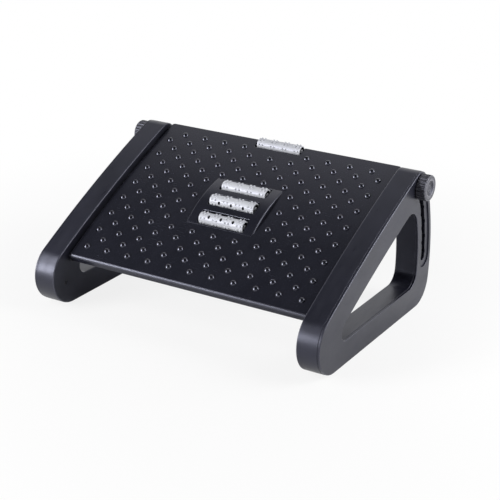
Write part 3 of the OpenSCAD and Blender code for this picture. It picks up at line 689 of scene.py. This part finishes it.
def build_tray():
    r, notch_r = PLATE_CORNER_R, NOTCH_CORNER_R
    path = rounded_path([
        (-HALF_W, T0, r), (HALF_W, T0, r), (HALF_W, T1, r), (BAY_HALF_W, T1, notch_r),
        (BAY_HALF_W, NOTCH_T, notch_r), (-BAY_HALF_W, NOTCH_T, notch_r),
        (-BAY_HALF_W, T1, notch_r), (-HALF_W, T1, r)])
    block = Block()
    rings = [block.ring([p for p, _ in path], -RIM_DEPTH)]
    for a in quarter(8):
        points = [p - normal * rim_radius(p) * (1 - math.cos(a)) for p, normal in path]
        rings.append(block.ring(points, 0.0, math.sin(2 * a)))
        for vert, (p, _) in zip(rings[-1], path):
            vert.co.z = -rim_radius(p) * (1 - math.sin(a))
    foot, crest = block.stack(rings)
    inner = block.side(lambda d: inset(path)(WALL + d), -RIM_DEPTH, -WALL)
    block.wall(foot, inner[0])
    gap = block.side(grown(island_box(OVERLAP, BAY_CORNER_R)), -WALL, 0.0)
    block.lid(crest, gap[1])
    block.lid(inner[1], gap[0])
    block.slice([T0 + PLATE_STRIP * i for i in range(1, 34)])
    return block.finish("plate_tray", PLATE, slope_place)


def island_place(x, t, h):
    """Heights near minus LEVEL are measured from the plate, the others from the island's arch."""
    return (x, *at(t, plate_n(t) + h + LEVEL if h < -LEVEL / 2 else island_n(t) + h))


def build_island():
    path = island_box(0, ISLAND_CORNER_R)
    block = Block()
    foot, crest = block.side(inset(path), -LEVEL - WALL, 0.0, 0.0, CREST_R)
    inner = block.side(lambda d: inset(path)(WALL + d), -LEVEL - WALL, -WALL)
    block.wall(foot, inner[0])
    tops, floors = [], []
    for i in (-1, 0, 1):
        t = ISLAND_T + i * ROLLER_PITCH
        bay = upright_box(BAY_HALF_W, t - BAY_HALF_L, t + BAY_HALF_L, BAY_CORNER_R)
        low, high = block.side(grown(bay), -WALL, 0.0, 0.0, BAY_R)
        tops.append(high)
        floors.append(low)
    block.lid(crest, *tops)
    block.lid(inner[1], *floors)
    block.slice([ISLAND_T - HALF_ISLAND_L + ISLAND_STRIP * i for i in range(1, 23)])
    return block.finish("plate_island", PLATE, island_place)


def build_underside():
    """What the solid has below its skin: ribs, lugs, cheeks and bosses. The tray is the skin."""
    low = bmesh.new()
    low.from_mesh(nodes["footplate"].data)
    bmesh.ops.remove_doubles(low, verts=low.verts[:], dist=1e-6)

    def spot(p):
        """A point of the solid: across from the middle, along the slope and above the rod."""
        place = Vector((p.y, p.z)) / MM - PIVOT
        return abs(p.x / MM), place.dot(turn(TILT)), place.dot(turn(TILT + 90))

    def outside(p):
        x, t, n = spot(p)
        on_island = x < HALF_ISLAND_W + NEAR and abs(t - ISLAND_T) < HALF_ISLAND_L + NEAR
        top = island_n(t) if on_island else plate_n(t)
        return x > HALF_W - NEAR or t < T0 + NEAR or t > T1 - NEAR or n > top - NEAR

    def under_skin(p):
        _, t, n = spot(p)
        return min(abs(top - SKIN_T - n) for top in (plate_n(t), island_n(t))) < SAME

    gone = [f for f in low.faces if any(outside(v.co) for v in f.verts)
            or all(under_skin(v.co) for v in f.verts)]
    bmesh.ops.delete(low, geom=gone, context="FACES")
    data = written(low, bpy.data.meshes.new("plate_underside"))
    return as_object("plate_underside", data, UNDERSIDE, 20.0)


for piece in (build_tray(), build_island(), build_underside()):
    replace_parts(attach(piece, "plate"), "footplate")
    print(piece.name, len(piece.data.polygons), "faces")

# %% [markdown]
# ## Bumps
# The plate's bumps stand in staggered rows and are all alike, so they are one rule: a table of
# places, and a small dome put on each by Geometry Nodes. The dome itself is a grid bent by two
# formulas, angle round and angle down from the top, which is a cap of a ball with a short foot.
# Particles could scatter them too, but a moulded pattern is a table, not a scatter.

# %% Geometry Nodes helpers
class Steps(Wire):
    """A Geometry Nodes tree with named sizes in millimetres, built line by line."""

    def __init__(self, name, sizes):
        super().__init__(bpy.data.node_groups.new(name, "GeometryNodeTree"), None)
        face = self.tree.interface
        face.new_socket("Geometry", in_out="INPUT", socket_type="NodeSocketGeometry")
        for label, value in sizes.items():
            item = face.new_socket(label, in_out="INPUT", socket_type="NodeSocketFloat")
            item.default_value = value * MM
        face.new_socket("Geometry", in_out="OUTPUT", socket_type="NodeSocketGeometry")
        self.start = self.tree.nodes.new("NodeGroupInput")

    def size(self, label):
        return Wire(self.tree, self.start.outputs[label])

    def add(self, kind, inputs=()):
        return self.node(kind, {}, dict(inputs))

    def moved(self, mesh, x, y, z):
        """The mesh with each of its points at these values."""
        place = self.add("ShaderNodeCombineXYZ", {0: x, 1: y, 2: z})
        return self.add("GeometryNodeSetPosition", {0: mesh, "Position": place})

    def dome(self, columns, rows, shape):
        """A grid bent round z. The shape gives radius and height for 0 at the top to 1."""
        grid = self.add("GeometryNodeMeshGrid", {"Size X": 1.0, "Size Y": 1.0,
                                                 "Vertices X": columns, "Vertices Y": rows})
        x = self.add("ShaderNodeSeparateXYZ", {0: self.add("GeometryNodeInputPosition")})
        out, up = shape(x.sibling(1) + 0.5)
        around = x * (2 * math.pi)
        bent = self.moved(grid, out * around.of("COSINE"), out * around.of("SINE"), up)
        return self.add("GeometryNodeMergeByDistance", {0: bent, "Distance": 1e-6})

    def placed(self, points, instance, lean=0.0):
        """A copy of the instance on each point, leaning about x."""
        angles = self.add("ShaderNodeCombineXYZ", {0: lean})
        turned = self.add("FunctionNodeEulerToRotation", {0: angles})
        return self.add("GeometryNodeInstanceOnPoints",
                        {"Points": points, "Instance": instance, "Rotation": turned})

    def plain_mesh(self, name, geometry, material, source):
        """Ends the tree, runs it on the source mesh and gives the result as a plain mesh."""
        real = self.add("GeometryNodeRealizeInstances", {0: geometry})
        final = self.add("GeometryNodeSetMaterial", {0: real, "Material": material})
        feed(self.tree.nodes.new("NodeGroupOutput"), {0: final})
        carrier = added(name + "_carrier", source)
        carrier.modifiers.new("rule", "NODES").node_group = self.tree
        graph = bpy.context.evaluated_depsgraph_get()
        data = bpy.data.meshes.new_from_object(carrier.evaluated_get(graph), depsgraph=graph)
        carrier.modifiers.clear()
        bpy.data.objects.remove(carrier)
        data.name = name
        return data


print("node trees ready")

# %% Place the bumps
BUMP_D, BUMP_H, BUMP_PITCH, ROW_PITCH, ROW_START = 9.0, 3.2, 32.1, 15.4, 20.5
ROWS, ROW_BUMPS, CHEEK_X, BUMP_FOOT = 16, 11, 37.0, 0.6


def is_free(x, t):
    """True where neither the island nor the rear notch takes the bump's place."""
    reach = BUMP_D / 2
    in_notch = abs(x) < CHEEK_X and t > NOTCH_T - BUMP_D
    off_island = abs(x) >= HALF_ISLAND_W + reach or abs(t - ISLAND_T) >= HALF_ISLAND_L + reach
    return off_island and not in_notch


def bump_places():
    """Rows of eleven and ten by turns, across the plate, as (x, t)."""
    rows = [(T0 + ROW_START + row * ROW_PITCH, ROW_BUMPS - row % 2) for row in range(ROWS)]
    places = [((i - (count - 1) / 2) * BUMP_PITCH, t) for t, count in rows for i in range(count)]
    return [place for place in places if is_free(*place)]


def build_bumps():
    places = bump_places()
    points = bpy.data.meshes.new("bump_places")
    points.from_pydata([Vector(slope_place(x, t, 0)) * MM for x, t in places], [], [])
    lean = points.attributes.new("lean", "FLOAT", "POINT")
    tilts = [math.radians(TILT) - math.asin((t - PLATE_C[0]) / PLATE_R) for _, t in places]
    lean.data.foreach_set("value", tilts)
    steps = Steps("bumps", {"Diameter": BUMP_D, "Height": BUMP_H, "Foot": BUMP_FOOT})
    half, high = steps.size("Diameter") / 2.0, steps.size("Height")
    ball = (half * half + high * high) / (high * 2.0)
    most = ((ball - (high + steps.size("Foot"))) / ball).of("ARCCOSINE")

    def cap(share):
        down = share * most
        return ball * down.of("SINE"), ball * down.of("COSINE") - (ball - high)

    tilt = steps.add("GeometryNodeInputNamedAttribute", {"Name": "lean"})
    domes = steps.placed(steps.size(0), steps.dome(25, 9, cap), tilt)
    data = steps.plain_mesh("bumps", domes, SHADE_DARKENED_BUMP, points)
    mesh = bmesh.new()
    mesh.from_mesh(data)
    return as_object("plate_bumps", written(mesh, data), SHADE_DARKENED_BUMP), len(places)


bumps, bump_count = build_bumps()
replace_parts(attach(bumps, "plate"), "footplate")
print(bump_count, "bumps,", len(bumps.data.polygons), "faces")

# %% [markdown]
# ## Rollers
# A roller is a round bar with soft, cupped ends, four bands of small blunt nubs and, between the
# bands, three oval holes from its mould. The bar is turned from a profile. The nubs and the holes
# repeat, so Geometry Nodes puts them on: the holes are cut with a Boolean, and the nubs are
# instances on a table of places. A value called hollow tells the material where it is deep, and
# the material paints shade there by darkening the colour.

# %% Build the rollers
NUB_GROUPS, NUB_ROWS, NUB_GAP, NUB_D, NUB_ROOT, GROUP_END = 4, 8, 5.0, 2.6, 0.4, 5.7
HOLE_D, HOLE_L, HOLE_DEPTH = 3.4, 4.8, 3.0
CUP_R, CUP_DEPTH, AXLE_HUB_R, AXLE_HUB_X, DRAFT, BORE_D = 6.4, 3.5, 2.7, 0.3, 0.2, 3.1
ROLLER_END_R, MOUTH = 0.7, 0.5
GROUP_PITCH = (ROLLER_L - 2 * GROUP_END) / (NUB_GROUPS - 1)


def turned(block, profile, steps=48):
    """Walls round the x axis through a profile of (x, radius, edge). Gives the end rings."""
    return block.stack([block.ring(circle_at(Vector((0, 0)), r, steps)(0), x, edge)
                        for x, r, edge in profile])


def soft_end(x, way):
    """The rounding of the bar's end at x, from the end face out to the side for way 1."""
    return [(x + way * ROLLER_END_R * (1 - math.cos(a)),
             ROLLER_D / 2 - ROLLER_END_R * (1 - math.sin(a)), math.sin(2 * a))
            for a in quarter(5)[::way]]


def roller_core():
    """A mesh along the x axis about the origin, with a bore for its axle."""
    block = Block()
    half = ROLLER_L / 2
    first, last = turned(block, soft_end(-half, 1) + soft_end(half, -1))
    cup = [(0.0, CUP_R, 0.5), (CUP_DEPTH, CUP_R - DRAFT, 0.0), (CUP_DEPTH, AXLE_HUB_R + DRAFT, 0.0),
           (AXLE_HUB_X, AXLE_HUB_R, 0.3), (AXLE_HUB_X, BORE_D / 2, 0.0)]
    low, high = turned(block, [(-half + x, r, edge) for x, r, edge in cup]
                       + [(half - x, r, edge) for x, r, edge in cup[::-1]])
    block.lid(first, low)
    block.lid(last, high)
    return block.data("roller_core", lambda u, v, h: (h, u, v))


def build_roller_mesh():
    steps = Steps("roller", {
        "Diameter": ROLLER_D, "Group Pitch": GROUP_PITCH, "Nub Gap": NUB_GAP,
        "Nub Diameter": NUB_D, "Nub Height": NUB_H, "Hole Width": HOLE_D,
        "Hole Length": HOLE_L, "Hole Depth": HOLE_DEPTH})
    half, pitch, root = steps.size("Diameter") / 2.0, steps.size("Group Pitch"), NUB_ROOT * MM

    index = steps.add("GeometryNodeInputIndex")
    per_group = float(2 * NUB_ROWS)
    group, inner = (index / per_group).of("FLOOR"), index.of("MODULO", per_group)
    row, way = (inner / 2.0).of("FLOOR"), inner.of("MODULO", 2.0) - 0.5
    x = (group - (NUB_GROUPS - 1) / 2) * pitch + way * steps.size("Nub Gap")
    lean = (row + 0.5) * (2 * math.pi / NUB_ROWS)
    spots = steps.add("GeometryNodeMeshLine", {"Count": NUB_GROUPS * 2 * NUB_ROWS})
    spots = steps.moved(spots, x, lean.of("SINE") * ((half - root) * -1.0),
                        lean.of("COSINE") * (half - root))

    def blunt(share):
        out = (share * (math.pi / 2)).of("SINE").of("POWER", 0.8)
        up = 1.0 - share.of("POWER", 3.0)
        return steps.size("Nub Diameter") / 2.0 * out, (steps.size("Nub Height") + root) * up

    nubs = steps.placed(spots, steps.dome(13, 7, blunt), lean)

    pin = steps.add("GeometryNodeMeshCylinder", {"Vertices": 24, "Radius": 0.5, "Depth": 1.0})
    size = steps.add("ShaderNodeCombineXYZ", {
        0: steps.size("Hole Width"), 1: steps.size("Hole Length"),
        2: steps.size("Hole Depth") * 2.0})
    pin = steps.add("GeometryNodeTransform", {0: pin, "Scale": size})
    seats = steps.add("GeometryNodeMeshLine", {"Count": NUB_GROUPS - 1})
    seats = steps.moved(seats, (index - (NUB_GROUPS - 2) / 2) * pitch, 0.0, half)
    pins = steps.add("GeometryNodeRealizeInstances", {0: steps.placed(seats, pin)})
    cut = steps.node("GeometryNodeMeshBoolean", {"operation": "DIFFERENCE", "solver": "EXACT"},
                     {"Mesh 1": steps.size(0), "Mesh 2": pins})
    join = steps.add("GeometryNodeJoinGeometry")
    for part in (cut, nubs):
        feed(join.socket.node, {0: part})
    data = steps.plain_mesh("roller", join, ROLLER, roller_core())
    # How deep each point lies, for the painted shade in the holes and cups.
    hollow = data.attributes.new("hollow", "FLOAT", "POINT")
    hollow.data.foreach_set("value", [how_deep(vert.co / MM) for vert in data.vertices])
    return data


def how_deep(p):
    """1 at the bottom of a hole or of the cup in an end, 0 at the roller's outside."""
    r, from_end = math.hypot(p.y, p.z), ROLLER_L / 2 - abs(p.x)
    hole = (ROLLER_D / 2 - MOUTH - r) / 1.2 if from_end > 2 * CUP_DEPTH else 0.0
    cup = (from_end - MOUTH) / 2.5 if r < CUP_R + 0.1 else 0.0
    return min(max(hole, cup, 0.0), 1.0)


def build_rollers():
    """Four copies, each turned by its own angle so that no two show the same rows."""
    base = build_roller_mesh()
    outer_n = island_n(ISLAND_T) - ROLLER_SINK - ROLLER_DROP
    spots = {"front": (ISLAND_T - ROLLER_PITCH, outer_n, 22),
             "middle": (ISLAND_T, outer_n + ROLLER_DROP, 61),
             "rear": (ISLAND_T + ROLLER_PITCH, outer_n, 205),
             "edge": (EDGE_T, EDGE_N, 120)}
    for name, (t, n, spin) in spots.items():
        data = base.copy()
        lean = Matrix.Rotation(math.radians(TILT + spin), 4, "X")
        data.transform(Matrix.Translation(Vector((0, *at(t, n))) * MM) @ lean)
        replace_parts(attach(as_object("nubbed_roller_" + name, data, ROLLER), "roller_" + name),
                    "roller_" + name)
    bpy.data.meshes.remove(base)
    return len(data.polygons)


print("faces of one roller:", build_rollers())

# %% [markdown]
# ## Knobs
# A clamping knob is a short cap with twenty rounded flutes and a shallow dished face. Its outline
# is a circle with a bite for each flute, and the bites get shallower as the rim rounds off. So it
# is built from rings again, each with its own radius and depth of flute. A Boolean with twenty
# bars would leave hard edges where fingers go.

# %% Build the knobs
FLUTES, FLUTE_R, FLUTE_OUT, FLUTE_STEPS = 20, 1.5, 0.51, 10
HUB_START, HUB_EDGE, KNOB_START, KNOB_EDGE = 1.1, 0.4, 0.35, 1.9
DISH_RIM, DISH_FLOOR_R, BUTTON_RISE = 0.7, 0.7 * DISH_D / 2, 0.35


def fluted(r, bite):
    """A circle of radius r with a round bite for each flute, bite from 0 to 1."""
    points = []
    for i in range(FLUTES * FLUTE_STEPS):
        angle = 360 * i / (FLUTES * FLUTE_STEPS)
        from_flute = (angle + 180 / FLUTES) % (360 / FLUTES) - 180 / FLUTES
        c = KNOB_D / 2 + FLUTE_OUT
        swing = c * math.sin(math.radians(from_flute))
        deep = 0.0
        if abs(swing) < FLUTE_R:
            cut = c * math.cos(math.radians(from_flute)) - math.sqrt(FLUTE_R ** 2 - swing ** 2)
            deep = max(KNOB_D / 2 - cut, 0.0)
        points.append((r - deep * bite) * turn(angle))
    return points


def knob_profile():
    """A knob's rings from its hub to the button in its face: x, radius, bite and edge."""
    hub_x, start, end = TRACK_X + HUB_START, OUTER_X + KNOB_START, OUTER_X + KNOB_REACH
    hub, half, dish = HUB_D / 2, KNOB_D / 2, DISH_D / 2
    rings = [(hub_x, hub - HUB_EDGE, 0, 0), (hub_x + HUB_EDGE, hub, 0, 0.5), (start, hub, 0, 0),
             (start, half - 1.0, 0.9, 0.2), (start + 0.3, half - 0.3, 1, 0.8),
             (start + 1.0, half, 1, 0.3)]
    rings += [(end - KNOB_EDGE * (1 - math.sin(a)), half - KNOB_EDGE * (1 - math.cos(a)),
               max(0.0, 1 - 1.25 * math.sin(a)), math.sin(2 * a) * 0.9) for a in quarter(8)]
    slope = 6
    rings += [(end - DISH_DEPTH * (1 - math.cos(math.pi * k / slope)) / 2,
               dish + DISH_RIM - (dish - DISH_FLOOR_R + DISH_RIM) * k / slope,
               0, 0.9 if k < 2 else 0) for k in range(slope + 1)]
    rings += [(end - DISH_DEPTH, DISH_FLOOR_R * share, 0, 0) for share in (0.72, 0.66)]
    button = end - DISH_DEPTH + BUTTON_RISE
    return rings + [(button, DISH_FLOOR_R * 0.62, 0, 0.8), (button, DISH_FLOOR_R * 0.3, 0, 0)]


def build_knob(way, side):
    block = Block()
    for ring in block.stack([block.ring(fluted(r, bite), x, edge)
                             for x, r, bite, edge in knob_profile()]):
        block.lid(ring)
    knob = block.finish("clamp_knob_" + side, KNOB, on_side(way, at(SLOT_R, 0)), 50.0)
    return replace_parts(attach(knob, "knob_" + side), "knob_" + side)


for way, side in SIDE_NAMES.items():
    print(build_knob(way, side).name)

# %% [markdown]
# ## Screws
# A self-tapping screw has a low head with a cross in it for the driver. Ten of them hold the
# covers from inside and four hold the retainer under the island. One function draws a screw from
# its head to its tip, and one block gathers all the screws of a piece. Instances would do it too,
# but for so few a loop is plainer.

# %% Build the screws
HEAD_D, HEAD_T, HEAD_EDGE, SHANK_D = 5.8, 1.7, 0.5, 3.0
CROSS_L, CROSS_W, CROSS_DEPTH = 3.6, 0.9, 1.1
COVER_SCREW_TOP, COVER_SCREW_END = INNER_X + 0.3, INNER_X + 15
UNDER_SCREW_X, UNDER_SCREW_T, UNDER_SCREW_TOP, UNDER_SCREW_END = 25.0, 46.79, 3.0, 12.0


def add_screw(block, c, top, end):
    """One screw about c, from the top of its head to its tip."""
    down = 1 if end > top else -1
    foot, long, wide = top + down * HEAD_T, CROSS_L / 2, CROSS_W / 2
    arm = [Vector(p) for p in ((long, -wide), (long, wide), (wide, wide))]
    cross = [c + Matrix.Rotation(math.pi / 2 * k, 2) @ p for k in range(4) for p in arm]
    head = block.side(circle_at(c, HEAD_D / 2), top + down * HEAD_EDGE, foot)
    dome = block.ring(circle_at(c, HEAD_D / 2)(-HEAD_EDGE), top, 0.6)
    block.wall(dome, head[0])
    recess = block.side(lambda d: cross, top, top + down * CROSS_DEPTH)
    shank = block.side(circle_at(c, SHANK_D / 2), foot, end)
    block.lid(dome, recess[0])
    block.lid(recess[1])
    block.lid(head[1], shank[0])
    block.lid(shank[1])


for way, side in SIDE_NAMES.items():
    block = Block()
    for point in SCREWS:
        add_screw(block, point, COVER_SCREW_TOP, COVER_SCREW_END)
    screws = block.finish("cover_screw_heads_" + side, BLACK_ZINC, on_side(way))
    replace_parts(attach(screws, "stand"), "cover_screws_" + side)

block = Block()
for x in (-UNDER_SCREW_X, UNDER_SCREW_X):
    for t in (ISLAND_T - UNDER_SCREW_T, ISLAND_T + UNDER_SCREW_T):
        add_screw(block, Vector((x, t)), UNDER_SCREW_TOP, UNDER_SCREW_END)
screws = block.finish("retainer_screw_heads", STEEL, lambda x, t, n: (x, *at(t, n)))
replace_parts(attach(screws, "plate"), "retainer_screws")
print("screws:", 2 * len(SCREWS), "in the covers and 4 under the plate")

# %% [markdown]
# ## Bought parts
# Rods, bushes, washers, pads, pins and the retainer are simple turned or moulded pieces that the
# measured solids already show in full, so those stay and only get their finishes.

# %% Finishes of the small parts
FINISHES = [("bush", NYLON), ("spacer", NYLON), ("pad_", RUBBER), ("knob_nut", BRASS),
            ("roller_retainer", UNDERSIDE)]

plain = [name for name, node in nodes.items() if not node.hide_render]
for name in plain:
    finish = next((material for key, material in FINISHES if key in name), STEEL)
    nodes[name].data.materials.clear()
    nodes[name].data.materials.append(finish)
print("solids shown as they are:", len(plain))

# %% [markdown]
# ## Light
# Black plastic is shown by what it reflects. Softboxes at the front left and on the right give
# every bump its two highlights, a near card lightens the outer face of the frame, and the ceiling
# stays dim so that the top faces stay dark. The floor is white to the eye but still takes the
# shadow: rays from the camera see it lit from within by what the lamps leave missing.

# %% Lamps, floor and backdrop
FAR, PALE, CEILING = 8.0, (0.86, 0.86, 0.86, 1.0), (0.135, 0.135, 0.145)


def softbox(name, direction, distance, width, height, power):
    """A rectangular lamp seen from the footrest in this direction, turned to face it."""
    target = Vector((0, 0, AIM_Z))
    way = camera_axes(*direction, 0)[2]
    data = bpy.data.lights.new(name, "AREA")
    data.shape, data.size, data.size_y, data.energy = "RECTANGLE", width, height, power
    lamp = added(name, data)
    lamp.location = target + way * distance
    lamp.rotation_euler = way.to_track_quat("Z", "Y").to_euler()
    lamp.visible_camera = False


softbox("left_softbox", (-50, 36), 1.8, 0.7, 0.8, 11)
softbox("low_softbox", (-34, 14), 1.8, 0.8, 0.7, 28)
softbox("right_softbox", (111, 39), 1.7, 0.8, 0.7, 10)
softbox("side_card", (108, 14), 0.8, 0.5, 0.35, 3.2)


def ray_kinds(tree):
    """1 on the camera's own rays, and 1 on those that a mirror or glass sends on."""
    rays = tree.nodes.new("ShaderNodeLightPath").outputs
    mirrored = Wire(tree, rays["Is Glossy Ray"]) + Wire(tree, rays["Is Transmission Ray"])
    return Wire(tree, rays["Is Camera Ray"]), mirrored


def build_world():
    """White to the eye and in mirrors, dim as light, with a dark ceiling."""
    world = bpy.data.worlds.new("studio")
    bpy.context.scene.world = world
    world.use_nodes = True
    tree = world.node_tree
    background = tree.nodes["Background"]
    place = Wire(tree, tree.nodes.new("ShaderNodeTexCoord").outputs["Generated"])
    seen, mirrored = ray_kinds(tree)
    depth = place.node("ShaderNodeSeparateXYZ", {}, {0: place}, 1)
    height = depth.sibling(2)
    ceiling = height.between(0.15, 0.42) * (1.0 - depth.between(0.18, 0.52)) * (1.0 - seen)
    colour = ceiling.tint((1.0, 1.0, 1.0), CEILING)
    level = (seen + mirrored).of("MINIMUM", 1.0) * 0.7 + 0.3
    feed(background, {"Color": colour, "Strength": level})


def build_floor():
    """Matt and pale, lit from within for the eye, and for mirrors where no shadow lies."""
    material, shader, place = new_material("floor")
    tree = material.node_tree
    feed(shader, {"Base Color": PALE, "Roughness": 0.6, "Specular IOR Level": 0.2})
    white = tree.nodes.new("ShaderNodeEmission")
    seen, mirrored = ray_kinds(tree)
    seen = seen * (0.84 + place.length().between(0.25, 0.75) * 0.16)
    under = place.stretched(1 / 0.21, 1 / 0.17, 0.0).length()
    mirrored = mirrored * (0.05 + under.between(0.9, 1.5) * 0.95)
    mix = place.node("ShaderNodeMixShader", {}, {
        0: (seen + mirrored).of("MINIMUM", 1.0),
        1: Wire(tree, shader.outputs[0]), 2: Wire(tree, white.outputs[0])})
    feed(tree.nodes["Material Output"], {0: mix})
    data = bpy.data.meshes.new("floor")
    data.from_pydata([(-FAR, -FAR, 0), (FAR, -FAR, 0), (FAR, FAR, 0), (-FAR, FAR, 0)],
                     [], [(0, 1, 2, 3)])
    data.materials.append(material)
    added("floor", data)


build_world()
build_floor()
bpy.context.scene.view_settings.view_transform = "Standard"
